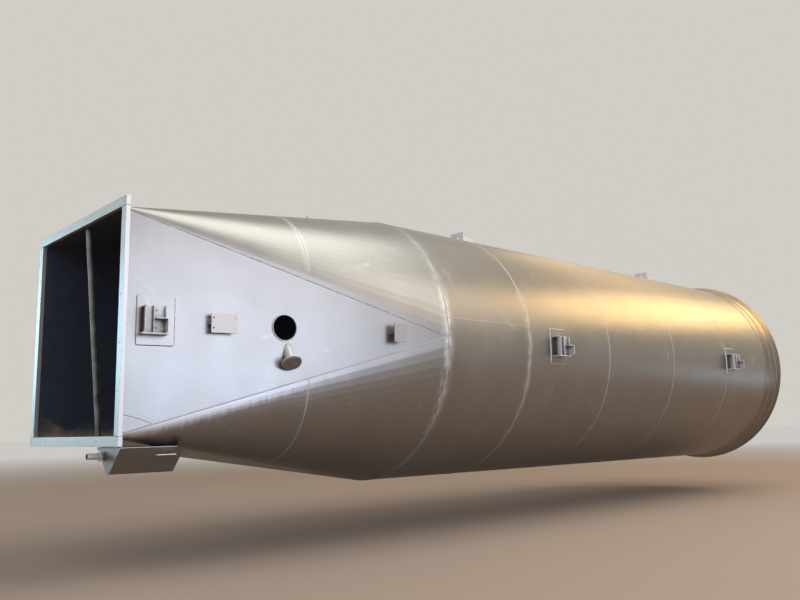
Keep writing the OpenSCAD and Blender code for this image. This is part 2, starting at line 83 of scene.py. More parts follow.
def wire(tree, kind, links=None, **settings):
    """A node with its settings, and its inputs set to values or to other nodes' outputs."""
    node = tree.nodes.new(kind)
    for name, value in settings.items():
        setattr(node, name, value)
    for name, value in (links or {}).items():
        if isinstance(value, bpy.types.NodeSocket):
            tree.links.new(value, node.inputs[name])
        else:
            node.inputs[name].default_value = value
    return node


def maths(tree, operation, *values, **settings):
    """What a Math node works out from the values."""
    return wire(tree, "ShaderNodeMath", dict(enumerate(values)), operation=operation, **settings).outputs[0]


def ramp(tree, value, start, end, low=0.0, high=1.0, smooth=False):
    """Runs from low to high while the value runs from start to end."""
    limits = {"Value": value, "From Min": start, "From Max": end, "To Min": low, "To Max": high}
    kind = "SMOOTHSTEP" if smooth else "LINEAR"
    return wire(tree, "ShaderNodeMapRange", limits, interpolation_type=kind).outputs["Result"]


def blend(tree, share, first, second, way="MIX"):
    """Two colours mixed or multiplied by a share."""
    links = {"Factor": share, "A": first, "B": second}
    return wire(tree, "ShaderNodeMix", links, data_type="RGBA", blend_type=way).outputs["Result"]


def blank_material(name):
    material = bpy.data.materials.new(name)
    material.use_nodes = True
    material.node_tree.nodes.clear()
    return material


floor_mesh = bpy.data.meshes.new("floor")
floor_corners = [(floor_centre[0] + sx * floor_half, floor_centre[1] + sy * floor_half, floor_z)
                 for sx, sy in ((-1, -1), (1, -1), (1, 1), (-1, 1))]
floor_mesh.from_pydata(floor_corners, [], [(0, 1, 2, 3)])
floor = bpy.data.objects.new("floor", floor_mesh)
bpy.context.scene.collection.objects.link(floor)
floor_paint = blank_material("pale_floor")
tree = floor_paint.node_tree
place = wire(tree, "ShaderNodeTexCoord")
away = wire(tree, "ShaderNodeVectorMath", {0: place.outputs["Object"], 1: under_duct}, operation="DISTANCE")
share = ramp(tree, away.outputs["Value"], 14.0, 60.0, smooth=True)
screed = wire(tree, "ShaderNodeBsdfPrincipled", {
    "Base Color": blend(tree, share, painted_shade_floor, pale_screed), "Roughness": 0.85,
    "Specular IOR Level": 0.05})
wire(tree, "ShaderNodeOutputMaterial", {"Surface": screed.outputs["BSDF"]})
floor_mesh.materials.append(floor_paint)

world = bpy.data.worlds.new("backdrop")
bpy.context.scene.world = world
world.use_nodes = True
tree = world.node_tree
tree.nodes.clear()
ray = wire(tree, "ShaderNodeLightPath")
seen = maths(tree, "MAXIMUM", ray.outputs["Is Camera Ray"], ray.outputs["Is Transmission Ray"])
seen = maths(tree, "MAXIMUM", seen, ray.outputs["Is Glossy Ray"])
pale = wire(tree, "ShaderNodeBackground", {"Color": backdrop_colour, "Strength": 1.0})
fill = wire(tree, "ShaderNodeBackground", {"Color": fill_colour, "Strength": 0.8})
both = wire(tree, "ShaderNodeMixShader", {0: seen, 1: fill.outputs[0], 2: pale.outputs[0]})
wire(tree, "ShaderNodeOutputWorld", {"Surface": both.outputs[0]})

# Lamps, all large and soft: pale and cool windows on the near side, a roof light,
# warm banks and a low window beyond the far end, and a window each in front of the
# inlet frame and behind it. A row gives the place, aim, size, power and tint.
for name, spot, aim, size, power, tint in (
        ("near_window", (4.47, -23.76, 4.64), (1.47, -1.36, 2.24), (13, 4.5), 1570, (0.62, 0.69, 0.92)),
        ("near_window_low", (4.53, -24.24, 0.16), (1.53, -1.84, -2.24), (13, 4.5), 1950, (0.46, 0.625, 1)),
        ("roof_light", (9.2, -6.8, 16.3), (9.2, -6.7, 0), (11.4, 14.6), 2650, (0.86, 0.94, 1)),
        ("high_window", (16.2, -18.2, 14.8), (3.5, -1.9, 0.8), (10, 8), 1150, (0.86, 0.94, 1)),
        ("warm_window", (18.3, -20.9, 9.8), (5.6, -4.6, -4.2), (10, 4), 520, (1, 0.90, 0.80)),
        ("far_bank", (34, -8, 13.5), (12, -1.5, 1.2), (14, 8), 2450, (1, 0.69, 0.29)),
        ("far_roof", (33, 6.5, 16.5), (8, 0, 2), (13, 5), 520, (1, 0.60, 0.24)),
        ("low_window", (30, -9.5, -1.7), (14, -2, 0), (5, 1.6), 60, (0.45, 0.65, 1)),
        ("front_window", (-24, -9, 6.8), (3, -1, 0), (10, 9), 2500, (0.52, 0.77, 1)),
        ("back_window", (-12, 34, 4.2), (0, 0, 0), (14, 6.5), 3500, (0.36, 0.72, 1))):
    lamp_data = bpy.data.lights.new(name, "AREA")
    lamp_data.shape = "RECTANGLE"
    lamp_data.size, lamp_data.size_y = size
    lamp_data.energy = power
    lamp_data.color = tint
    lamp = bpy.data.objects.new(name, lamp_data)
    lamp.location = spot
    lamp.rotation_euler = (Vector(aim) - Vector(spot)).to_track_quat("-Z", "Y").to_euler()
    lamp.visible_camera = False
    bpy.context.scene.collection.objects.link(lamp)

# Plates of the shell, the transition and the outlet. Rolled and pressed mild
# steel, welded edge to edge and sprayed outside with aluminium paint. The inside
# keeps its dark mill scale, which rusts along the bottom; the rust there is also painted
# lighter as painted light, where light from the inlet falls on the duct's floor.
channel_depth = 0.055
transition_l = 4.8
course_lengths = (1.96, 2.4, 2.4, 2.4, 2.01)
course_ends = [transition_l + sum(course_lengths[:i]) for i in range(6)]
cross_seam_x = 0.515 * transition_l
wall_half, corner_r = 1.389, 0.03
panel_half = wall_half - corner_r
silver = (0.232, 0.207, 0.172, 1)
brushed_silver = (0.64, 0.62, 0.58, 1)
dark_scale = (0.022, 0.027, 0.046, 1)
pale_scale = (0.055, 0.060, 0.087, 1)
rust_and_painted_light = (0.26, 0.175, 0.125, 1)
haze_reach = (0.15, 0.12, 0.05, 0.05, 0.05, 0.05)
haze_amount = (0.75, 0.5, 0.2, 0.15, 0.15, 0.15)
cross_haze_reach = 0.07
flat_panel_normal = 0.984
near_side_y = -0.9
paint_metallic, paint_rough, scale_rough, haze_rough = 0.85, 0.36, 0.8, 0.25
untinted = (1.0, 1.0, 1.0, 1)
outlet_tint = (0.80, 0.71, 0.63, 1)


def noise(tree, place, scale, detail, roughness=0.5, distortion=0.0):
    links = {"Vector": place, "Scale": scale, "Detail": detail, "Roughness": roughness,
             "Distortion": distortion}
    return wire(tree, "ShaderNodeTexNoise", links).outputs["Fac"]


def stretched(tree, place, scale):
    return wire(tree, "ShaderNodeMapping", {"Vector": place, "Scale": scale}).outputs[0]


def new_group(name, inputs, outputs):
    """A shader node group with number inputs, each with its value, and number outputs."""
    group = bpy.data.node_groups.new(name, "ShaderNodeTree")
    for title, value in inputs.items():
        socket = group.interface.new_socket(title, in_out="INPUT", socket_type="NodeSocketFloat")
        socket.default_value = value
    for title in outputs:
        group.interface.new_socket(title, in_out="OUTPUT", socket_type="NodeSocketFloat")
    return group


def place_group(tree, group, values=None):
    node = tree.nodes.new("ShaderNodeGroup")
    node.node_tree = group
    for name, value in (values or {}).items():
        node.inputs[name].default_value = value
    return node.outputs


def end_coat(tree, colour, metallic, rough, bump):
    """The shader and the output of a coat's tree."""
    shader = wire(tree, "ShaderNodeBsdfPrincipled", {
        "Base Color": colour, "Metallic": metallic, "Roughness": rough, "Normal": bump.outputs[0]})
    wire(tree, "ShaderNodeOutputMaterial", {"Surface": shader.outputs["BSDF"]})


def give_coat(starts, material):
    """Coats the CAD pieces whose names start so."""
    for name, node in frame["nodes"].items():
        if name.startswith(starts):
            node.data.materials.clear()
            node.data.materials.append(material)


# Sprayed paint: fine flakes, cloudy mottling, the passes of the gun and specks
paint_grain = new_group("paint_grain", {"Flake": 420.0, "Mottle": 1.3, "Contrast": 0.1},
                        ("Shade", "Rough", "Height"))
tree = paint_grain
given = wire(tree, "NodeGroupInput").outputs
place = wire(tree, "ShaderNodeTexCoord").outputs["Object"]
flake = noise(tree, place, scale=given["Flake"], detail=2.0, roughness=0.6)
mottle = noise(tree, place, scale=given["Mottle"], detail=6.0, roughness=0.62)
passes = noise(tree, stretched(tree, place, (2.2, 0.5, 0.5)), scale=1.0, detail=3.0)
speck = noise(tree, place, scale=55.0, detail=3.0, roughness=0.8)
swell = maths(tree, "MULTIPLY", noise(tree, place, scale=0.9, detail=2.0), 0.004)
cloud = maths(tree, "SUBTRACT", maths(tree, "ADD", mottle, passes), 1.0)
shade = maths(tree, "MULTIPLY_ADD", cloud, given["Contrast"], 0.92)
wire(tree, "NodeGroupOutput", {
    "Shade": maths(tree, "MULTIPLY_ADD", speck, 0.16, shade),
    "Rough": maths(tree, "MULTIPLY_ADD", mottle, 0.16, -0.08),
    "Height": maths(tree, "MULTIPLY_ADD", flake, 0.00012, swell)})

# Pale haze beside a round seam, where the bead was ground and brushed over. It
# is thickest at working height, a little below the duct's axis.
weld_haze = new_group("weld_haze", {"Seam": 0.0, "Reach": 0.1, "Amount": 0.5}, ("Mask",))
tree = weld_haze
given = wire(tree, "NodeGroupInput").outputs
place = wire(tree, "ShaderNodeTexCoord").outputs["Object"]
spot = wire(tree, "ShaderNodeSeparateXYZ", {0: place}).outputs
off_seam = maths(tree, "ABSOLUTE", maths(tree, "SUBTRACT", spot["X"], given["Seam"]))
mask = ramp(tree, off_seam, given["Reach"], 0.0, smooth=True)
strokes = noise(tree, stretched(tree, place, (9.0, 5.0, 5.0)), scale=1.1, detail=10.0, roughness=0.75)
mask = maths(tree, "MULTIPLY", mask, ramp(tree, strokes, 0.40, 0.62))
off_reach = maths(tree, "ABSOLUTE", maths(tree, "ADD", spot["Z"], 0.25))
mask = maths(tree, "MULTIPLY", mask, ramp(tree, off_reach, 1.5, 0.35, low=0.25, smooth=True))
wire(tree, "NodeGroupOutput", {"Mask": maths(tree, "MULTIPLY", mask, given["Amount"])})

# Faces that look in at the duct's axis
inner_side = new_group("inner_side", {}, ("Mask",))
tree = inner_side
normal = wire(tree, "ShaderNodeNewGeometry").outputs["True Normal"]
place = wire(tree, "ShaderNodeTexCoord").outputs["Object"]
from_axis = wire(tree, "ShaderNodeVectorMath", {0: place, 1: (0.0, 1.0, 1.0)}, operation="MULTIPLY")
outwards = wire(tree, "ShaderNodeVectorMath", {0: from_axis.outputs[0], 1: normal}, operation="DOT_PRODUCT")
wire(tree, "NodeGroupOutput", {"Mask": maths(tree, "LESS_THAN", outwards.outputs["Value"], -0.3)})


def brushed_seams(tree, place, spot):
    """Haze at the round seams, smudges, and the cross seam of the curved upper corners."""
    smudges = noise(tree, place, scale=1.9, detail=9.0, roughness=0.72, distortion=0.6)
    haze = ramp(tree, smudges, 0.60, 0.80, high=0.35)
    for seam, reach, amount in zip(course_ends, haze_reach, haze_amount):
        values = {"Seam": seam, "Reach": reach, "Amount": amount}
        haze = maths(tree, "MAXIMUM", haze, place_group(tree, weld_haze, values)["Mask"])
    off_seam = maths(tree, "ABSOLUTE", maths(tree, "SUBTRACT", spot["X"], cross_seam_x))
    brushed = ramp(tree, off_seam, cross_haze_reach, 0.0, smooth=True)
    brushed = maths(tree, "MULTIPLY", brushed, ramp(tree, spot["Z"], 0.5, 1.5, low=0.03, high=0.28))
    normal = wire(tree, "ShaderNodeNewGeometry").outputs["True Normal"]
    faces = wire(tree, "ShaderNodeSeparateXYZ", {0: normal}).outputs
    flatness = maths(tree, "MAXIMUM", maths(tree, "ABSOLUTE", faces["Y"]), faces["Z"])
    brushed = maths(tree, "MULTIPLY", brushed, maths(tree, "LESS_THAN", flatness, flat_panel_normal))
    return maths(tree, "MAXIMUM", haze, brushed)


def overspray(tree, place, spot):
    """A ragged pale band on the near side, just below the flat panel's lower edge."""
    panel_edge = ramp(tree, spot["X"], channel_depth, transition_l, low=-panel_half, high=0.0)
    below = maths(tree, "SUBTRACT", panel_edge, spot["Z"])
    ragged = noise(tree, stretched(tree, place, (14.0, 2.0, 2.0)), scale=1.3, detail=6.0, roughness=0.7)
    drift = ramp(tree, maths(tree, "MULTIPLY_ADD", ragged, -0.22, below), 0.05, -0.05, high=0.6)
    for limit in (ramp(tree, spot["X"], 3.2, 1.6, low=0.15),
                  maths(tree, "GREATER_THAN", below, 0.0),
                  maths(tree, "LESS_THAN", spot["Y"], near_side_y),
                  maths(tree, "LESS_THAN", spot["X"], transition_l)):
        drift = maths(tree, "MULTIPLY", drift, limit)
    return drift


def duct_skin(name, tint):
    """Paint with its haze and overspray outside, rusty scale inside, painted lighter at the bottom as
    painted light.
    """
    skin = blank_material(name)
    tree = skin.node_tree
    grain = place_group(tree, paint_grain, {"Contrast": 0.16})
    inside = place_group(tree, inner_side)["Mask"]
    place = wire(tree, "ShaderNodeTexCoord").outputs["Object"]
    spot = wire(tree, "ShaderNodeSeparateXYZ", {0: place}).outputs
    haze = maths(tree, "MAXIMUM", brushed_seams(tree, place, spot), overspray(tree, place, spot))
    painted = blend(tree, haze, blend(tree, 1.0, silver, grain["Shade"], "MULTIPLY"), brushed_silver)
    blotches = noise(tree, place, scale=3.0, detail=8.0, roughness=0.65)
    # Rust and painted light: the low inside faces, lit through the inlet, take a lighter brown.
    rust_and_light_mask = ramp(tree, maths(tree, "MULTIPLY_ADD", blotches, 0.9, spot["Z"]), -0.72, -0.94)
    scale = blend(tree, rust_and_light_mask, blend(tree, blotches, dark_scale, pale_scale), rust_and_painted_light)
    colour = blend(tree, 1.0, blend(tree, inside, painted, scale), tint, "MULTIPLY")
    rough = maths(tree, "MULTIPLY_ADD", haze, haze_rough, maths(tree, "ADD", grain["Rough"], paint_rough))
    rough = wire(tree, "ShaderNodeMix", {"Factor": inside, "A": rough, "B": scale_rough})
    metallic = maths(tree, "SUBTRACT", paint_metallic, inside, use_clamp=True)
    bump = wire(tree, "ShaderNodeBump", {"Height": grain["Height"], "Strength": 1.0, "Distance": 1.0})
    end_coat(tree, colour, metallic, rough.outputs["Result"], bump)
    return skin


# Every piece takes the skin first. The outlet's three rings have a thinner,
# duller coat, and later sections give other coats to the fittings.
give_coat("", duct_skin("silver_skin", untinted))
give_coat("outlet_", duct_skin("thin_skin", outlet_tint))

# Round seams between the courses and the outlet's rings, and the long seam of each
# course. They are arc welded inside and out, brushed and painted over. The long
# seams are turned from their neighbours', so that no two meet.
plate, shell_r = 0.008, 2.2
collar_l, flare_l = 0.29, 0.25
collar_rise, flare_rise = 0.015, 0.03
collar_end = course_ends[5] + collar_l
outlet_steps = ((course_ends[5], shell_r), (collar_end, shell_r + collar_rise),
                (collar_end + flare_l, shell_r + collar_rise + flare_rise))
outlet_seam_lift = 0.003
long_seam_turns = (8.0, 118.0, 64.0, 140.0, -118.0)
ripple_turn = 700.0  # radians along a metre of bead
bead_silver = (0.33, 0.31, 0.275, 1)
bead_inside = (0.09, 0.07, 0.06, 1)
bead_metallic, bead_rough = 0.7, 0.52
# Painted shade for beads that lie in shade: a dull dark brown.
bead_shade_colour = (0.12, 0.095, 0.080, 1)

# A bead is a low half-round ridge with the ripples of its passes, laid along a
# line of points that each know the way their surface faces
bead_tree = bpy.data.node_groups.new("lay_bead", "GeometryNodeTree")
bead_tree.interface.new_socket("Geometry", in_out="INPUT", socket_type="NodeSocketGeometry")
bead_sizes = {"Half Width": 0.011, "Rise": 0.0045, "Step": 0.04, "Waver": 0.002, "Seed": 7.0}
for name, value in bead_sizes.items():
    given = bead_tree.interface.new_socket(name, in_out="INPUT", socket_type="NodeSocketFloat")
    given.default_value = value
bead_tree.interface.new_socket("Paint", in_out="INPUT", socket_type="NodeSocketMaterial")
bead_tree.interface.new_socket("Geometry", in_out="OUTPUT", socket_type="NodeSocketGeometry")
tree = bead_tree
given = wire(tree, "NodeGroupInput").outputs
line = wire(tree, "GeometryNodeMeshToCurve", {"Mesh": given["Geometry"]}).outputs[0]
line = wire(tree, "GeometryNodeResampleCurve", {"Curve": line, "Length": given["Step"]},
            mode="LENGTH").outputs[0]
facing = wire(tree, "GeometryNodeInputNamedAttribute", {"Name": "facing"}, data_type="FLOAT_VECTOR")
line = wire(tree, "GeometryNodeSetCurveNormal", {"Curve": line, "Normal": facing.outputs["Attribute"]},
            mode="FREE").outputs[0]
place = wire(tree, "GeometryNodeInputPosition").outputs[0]
shake = wire(tree, "ShaderNodeTexNoise", {"Vector": place, "W": given["Seed"], "Scale": 9.0, "Detail": 2.0},
             noise_dimensions="4D").outputs["Color"]
shake = wire(tree, "ShaderNodeVectorMath", {0: shake, 1: (0.5, 0.5, 0.5)}, operation="SUBTRACT").outputs[0]
shake = wire(tree, "ShaderNodeVectorMath", {0: shake, "Scale": given["Waver"]}, operation="SCALE").outputs[0]
line = wire(tree, "GeometryNodeSetPosition", {"Geometry": line, "Offset": shake}).outputs[0]
run = wire(tree, "GeometryNodeSplineParameter").outputs["Length"]
line = wire(tree, "GeometryNodeStoreNamedAttribute", {"Geometry": line, "Name": "along", "Value": run},
            data_type="FLOAT", domain="POINT").outputs[0]
ring = wire(tree, "GeometryNodeCurvePrimitiveCircle", {"Resolution": 12, "Radius": 1.0}).outputs[0]
shape = wire(tree, "ShaderNodeCombineXYZ", {"X": given["Rise"], "Y": given["Half Width"], "Z": 1.0})
ring = wire(tree, "GeometryNodeTransform", {"Geometry": ring, "Scale": shape.outputs[0]}).outputs[0]
bead = wire(tree, "GeometryNodeCurveToMesh", {"Curve": line, "Profile Curve": ring, "Fill Caps": True})
bead = wire(tree, "GeometryNodeRealizeInstances", {"Geometry": bead.outputs[0]})
bead = wire(tree, "GeometryNodeSetShadeSmooth", {"Geometry": bead.outputs[0]})
bead = wire(tree, "GeometryNodeSetMaterial", {"Geometry": bead.outputs[0], "Material": given["Paint"]})
wire(tree, "NodeGroupOutput", {"Geometry": bead.outputs[0]})


def lay_beads(name, runs, paint, half_width, rise, step=0.04, waver=0.002):
    """Beads along runs, each a list of (point, the way its surface faces)."""
    points, edges, facing = [], [], []
    for run in runs:
        first = len(points)
        closed = (run[0][0] - run[-1][0]).length < 1e-6
        count = len(run) - 1 if closed else len(run)
        for point, way in run[:count]:
            points.append(point)
            facing.extend(way)
        edges += [(first + i, first + i + 1) for i in range(count - 1)]
        if closed:
            edges.append((first + count - 1, first))
    mesh = bpy.data.meshes.new(name)
    mesh.from_pydata(points, edges, [])
    mesh.attributes.new("facing", "FLOAT_VECTOR", "POINT").data.foreach_set("vector", facing)
    lines = bpy.data.objects.new(name + "_lines", mesh)
    bpy.context.scene.collection.objects.link(lines)
    lay = lines.modifiers.new("lay", "NODES")
    lay.node_group = bead_tree
    sizes = {"Half Width": half_width, "Rise": rise, "Step": step, "Waver": waver, "Paint": paint}
    for item in bead_tree.interface.items_tree:
        if item.in_out == "INPUT" and item.name in sizes:
            lay[item.identifier] = sizes[item.name]
    bpy.context.view_layer.update()
    ready = lines.evaluated_get(bpy.context.evaluated_depsgraph_get())
    made = bpy.data.meshes.new_from_object(ready)
    bpy.data.objects.remove(lines)
    piece = bpy.data.objects.new(name, made)
    bpy.context.scene.collection.objects.link(piece)
    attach(piece, list(frame["bodies"])[0])


def bead_coat(name, shaded):
    """Paint over a bead's ripples. A shaded bead has dull dark patches besides, as painted shade."""
    coat = blank_material(name)
    tree = coat.node_tree
    grain = place_group(tree, paint_grain, {"Contrast": 0.25})
    inside = place_group(tree, inner_side)["Mask"]
    colour = blend(tree, 1.0, bead_silver, grain["Shade"], "MULTIPLY")
    colour = blend(tree, inside, colour, bead_inside)
    metallic = bead_metallic
    # Painted shade: dull dark patches, for beads that lie in shade.
    if shaded:
        place = wire(tree, "ShaderNodeTexCoord").outputs["Object"]
        patches = ramp(tree, noise(tree, place, scale=9.0, detail=6.0, roughness=0.7), 0.62, 0.42)
        colour = blend(tree, patches, colour, bead_shade_colour)
        metallic = maths(tree, "MULTIPLY_ADD", patches, -0.6, metallic)
    run = wire(tree, "ShaderNodeAttribute", attribute_name="along").outputs["Fac"]
    ripple = maths(tree, "SINE", maths(tree, "MULTIPLY", run, ripple_turn))
    height = maths(tree, "MULTIPLY_ADD", ripple, 0.0004, grain["Height"])
    bump = wire(tree, "ShaderNodeBump", {"Height": height, "Strength": 1.0, "Distance": 1.0})
    end_coat(tree, colour, metallic, maths(tree, "ADD", grain["Rough"], bead_rough), bump)
    return coat


def way_from_axis(angle):
    """Straight out from the duct's axis, at an angle up from the near side."""
    return Vector((0.0, -math.cos(angle), math.sin(angle)))


def seam_ring(x, radius, outwards, steps=240):
    ring = []
    for i in range(steps + 1):
        way = way_from_axis(2 * math.pi * (i % steps) / steps)
        ring.append((Vector((x, 0.0, 0.0)) + radius * way, way * outwards))
    return ring


painted_bead = bead_coat("painted_bead", shaded=False)
shaded_bead = bead_coat("shaded_bead", shaded=True)
lay_beads("round_seams", [seam_ring(x, shell_r, 1) for x in course_ends[:2]], painted_bead,
          0.013, 0.0034, waver=0.006)
lay_beads("outlet_seams", [seam_ring(x, radius + outlet_seam_lift, 1) for x, radius in outlet_steps],
          painted_bead, 0.009, 0.006)
lay_beads("round_seams_back", [seam_ring(x, shell_r, 1) for x in course_ends[2:5]], painted_bead,
          0.010, 0.0026)
lay_beads("round_seams_inside", [seam_ring(x, shell_r - plate, -1) for x in course_ends], painted_bead,
          0.009, 0.003, step=0.06)
long_seams = []
for radius, outwards in ((shell_r, 1), (shell_r - plate, -1)):
    for start, end, turned in zip(course_ends, course_ends[1:], long_seam_turns):
        way = way_from_axis(math.radians(turned))
        long_seams.append([(Vector((x, 0.0, 0.0)) + radius * way, way * outwards) for x in (start, end)])
lay_beads("long_seams", long_seams, painted_bead, 0.006, 0.0025)

# Seams of the transition: the long edges of the four flat triangles, and the
# seam across each corner where its front piece meets the rear one. They are arc
# welded too, and a patch in the near panel's bottom corner has its own seam.
tilt = math.atan2(shell_r - wall_half, transition_l - channel_depth)
near_out = Vector((-math.sin(tilt), -math.cos(tilt), 0.0))
top_out = Vector((-math.sin(tilt), 0.0, math.cos(tilt)))
along_near = Vector((math.cos(tilt), -math.sin(tilt), 0.0))
upwards = Vector((0.0, 0.0, 1.0))
edge_shares = (0.004, 0.5, 0.998)  # from just behind the frame to just before the shell
corner_steps, corner_lean = 24, 0.17
patch_edge = ((0.062, -1.12), (0.25, -1.17), (0.43, -1.235))


def wall_at(x):
    """How far the flat panels stand from the axis."""
    return wall_half + math.tan(tilt) * (x - channel_depth)


def on_near(x, dx, z, lift=0.0):
    """A point on the near flat panel, dx along it from x, lifted off it."""
    return Vector((x, -wall_at(x), z)) + along_near * dx + near_out * lift


def ruling(turned, share):
    """A point of the near top corner's ruling, as in the part's source."""
    angle = math.radians(turned)
    centre = panel_half * (1 - share)
    radius = corner_r * (1 - share) + shell_r * share
    return Vector((channel_depth + (transition_l - channel_depth) * share,
                   -centre - radius * math.cos(angle), centre + radius * math.sin(angle)))


def in_each_corner(run):
    return [[(Vector((p.x, p.y * sy, p.z * sz)), Vector((n.x, n.y * sy, n.z * sz))) for p, n in run]
            for sy in (1, -1) for sz in (1, -1)]


side_edges = in_each_corner([(ruling(0, share), near_out) for share in edge_shares])
level_edges = in_each_corner([(ruling(90, share), top_out) for share in edge_shares])
upper_edges = [run for run in side_edges if run[0][0].z > 0]
lower_edges = [run for run in side_edges if run[0][0].z < 0]
cross_share = (cross_seam_x - channel_depth) / (transition_l - channel_depth)
cross_seam = []
for i in range(corner_steps + 1):
    turned = 90 * i / corner_steps
    way = way_from_axis(math.radians(turned)) - Vector((corner_lean, 0.0, 0.0))
    cross_seam.append((ruling(turned, cross_share), way.normalized()))
patch_seam = [(on_near(x, 0, z), near_out) for x, z in patch_edge]
lay_beads("transition_seams", lower_edges + level_edges, painted_bead, 0.008, 0.0035, step=0.05)
lay_beads("corner_patch_seam", [patch_seam], painted_bead, 0.006, 0.003)
# The upper side seams take the shaded bead: painted shade along the step of the upper corners.
lay_beads("upper_side_seams", upper_edges, shaded_bead, 0.0055, 0.003, step=0.05)
lay_beads("transition_cross_seams", in_each_corner(cross_seam), painted_bead, 0.008, 0.002)

# The inlet's rolled channels and the small welded fittings: brackets, lugs, nozzles,
# rim and drain. They are cut from thicker plate and welded on, and show brown chips
# where the spray missed, a painted highlight along their edges and painted shade in their corners.
fitting_silver = (0.45, 0.405, 0.36, 1)
edge_highlight = (0.74, 0.71, 0.67, 1)
chip_brown = (0.16, 0.09, 0.06, 1)
corner_shade = (0.060, 0.052, 0.050, 1)
fitting_rough = 0.47
dull_tint = (0.53, 0.485, 0.46, 1)
painted_shade_tint = (0.93, 0.88, 0.84, 1)


def fitting_coat(name, metallic, tint):
    coat = blank_material(name)
    tree = coat.node_tree
    grain = place_group(tree, paint_grain, {"Contrast": 0.22, "Mottle": 4.0})
    round_edge = wire(tree, "ShaderNodeBevel", {"Radius": 0.010}, samples=4).outputs[0]
    normal = wire(tree, "ShaderNodeNewGeometry").outputs["Normal"]
    same = wire(tree, "ShaderNodeVectorMath", {0: round_edge, 1: normal}, operation="DOT_PRODUCT")
    edge = ramp(tree, same.outputs["Value"], 0.995, 0.90)
    place = wire(tree, "ShaderNodeTexCoord").outputs["Object"]
    chips = ramp(tree, noise(tree, place, scale=22.0, detail=5.0, roughness=0.7), 0.52, 0.62)
    chips = maths(tree, "MULTIPLY", edge, chips)
    # Painted shade: corners and recesses of each fitting darkened by an occlusion mask.
    recess = wire(tree, "ShaderNodeAmbientOcclusion", {"Distance": 0.11}, samples=6, only_local=True)
    recess_shade = ramp(tree, recess.outputs["AO"], 0.70, 0.30, high=0.85)
    colour = blend(tree, 1.0, fitting_silver, grain["Shade"], "MULTIPLY")
    # Painted highlight: the edges are lightened where they would catch light.
    colour = blend(tree, maths(tree, "MULTIPLY", edge, 0.6), colour, edge_highlight)
    colour = blend(tree, chips, colour, chip_brown)
    colour = blend(tree, recess_shade, colour, corner_shade)
    colour = blend(tree, 1.0, colour, tint, "MULTIPLY")
    chipped_metallic = maths(tree, "MULTIPLY_ADD", chips, -0.2, metallic)
    bump = wire(tree, "ShaderNodeBump", {"Height": grain["Height"], "Strength": 1.0, "Distance": 1.0,
                                         "Normal": round_edge})
    end_coat(tree, colour, chipped_metallic, maths(tree, "ADD", grain["Rough"], fitting_rough), bump)
    return coat


silver_plate = fitting_coat("silver_plate", 0.28, untinted)
give_coat(("side_brackets", "access_rim", "nozzle_pipe", "top_nozzle", "lug_pads", "lifting_lugs",
           "trough_shelf", "drain_pipe"), silver_plate)
give_coat("inlet_flange", fitting_coat("channel_plate", 0.75, untinted))
give_coat("small_bracket", fitting_coat("dull_plate", 0.70, dull_tint))
# Painted shade: the plate bracket takes a darker, warmer copy of the fitting coat, where the near windows
# light it strongly.
give_coat("plate_bracket", fitting_coat("shaded_plate", 0.28, painted_shade_tint))

# Fillets where the pads, brackets, rim, nozzles and lugs stand on the duct, one run
# of weld round each foot. They are as wide as the pads are thick, and painted over
# or, low on the inlet's near pad, darkened as painted shade.
shell_end = course_ends[5]
bracket_x = (0.435, transition_l + 2.755, shell_end - 1.82)
pad_half_l, pad_half_h = 0.225, 0.30
lug_x = (transition_l + 2.6, shell_end - 1.72)
lug_pad_margin, lug_pad_l, lug_pad_half = 0.06, 0.425, 0.23
plate_bracket_x, plate_bracket_half = 1.258, 0.17
small_bracket_x, small_bracket_half = 3.84, 0.10
bracket_plate_half = 0.006  # half of the brackets' 12 mm plate
access_x, access_rim_r = 2.12, 0.178
nozzle_x, nozzle_z, nozzle_r, nozzle_slope = 2.17, -0.315, 0.0635, math.radians(52.0)
top_nozzle_x, top_nozzle_r = 3.8, 0.0365
toe = 0.004  # how far a fillet's middle lies from the plate's edge and off the duct


def foot_on_panel(x, half_l, half_h):
    """Round a rectangle on the near flat panel, in eight points."""
    corners = ((-1, -1), (1, -1), (1, 1), (-1, 1), (-1, -1))
    run = []
    for a, b in zip(corners, corners[1:]):
        side = along_near * ((a[0] + b[0]) / 2) + upwards * ((a[1] + b[1]) / 2)
        for share in (0.02, 0.98):
            dx = half_l * (a[0] + (b[0] - a[0]) * share)
            dz = half_h * (a[1] + (b[1] - a[1]) * share)
            run.append((on_near(x, dx, dz, toe), (near_out + side).normalized()))
    return run + [run[0]]


def foot_on_shell(x0, x1, middle, half_h, steps=10, full=0.995):
    """Round a rolled pad whose middle lies at that angle up from the near side."""
    half = math.degrees(math.asin(half_h / shell_r))
    swing = [half * (2 * i / steps - 1) * full for i in range(steps + 1)]
    places = [(x0, turned, -1, 0) for turned in swing]
    places += [(x, half, 0, 1) for x in (x0 + toe, x1 - toe)]
    places += [(x1, -turned, 1, 0) for turned in swing]
    places += [(x, -half, 0, -1) for x in (x1 - toe, x0 + toe)]
    run = []
    for x, turned, lengthwise, roundwise in places:
        angle = math.radians(middle + turned)
        way = way_from_axis(angle)
        round_way = Vector((0.0, math.sin(angle), math.cos(angle)))
        lean = way + Vector((lengthwise, 0, 0)) + round_way * roundwise
        run.append((Vector((x, 0, 0)) + way * (shell_r + toe), lean.normalized()))
    return run + [run[0]]


def foot_of_pipe(middle, panel_out, pipe_way, across, radius, steps=40):
    """Where a pipe meets a flat panel: round, or oval where the pipe slopes."""
    upright = pipe_way.cross(across)
    run = []
    for i in range(steps + 1):
        angle = 2 * math.pi * (i % steps) / steps
        side = across * math.cos(angle) + upright * math.sin(angle)
        foot = side * radius
        foot -= pipe_way * (foot.dot(panel_out) / pipe_way.dot(panel_out))
        run.append((middle + foot, (panel_out + side).normalized()))
    return run


def other_side(runs):
    return [[(Vector((p.x, -p.y, p.z)), Vector((n.x, -n.y, n.z))) for p, n in run] for run in runs]


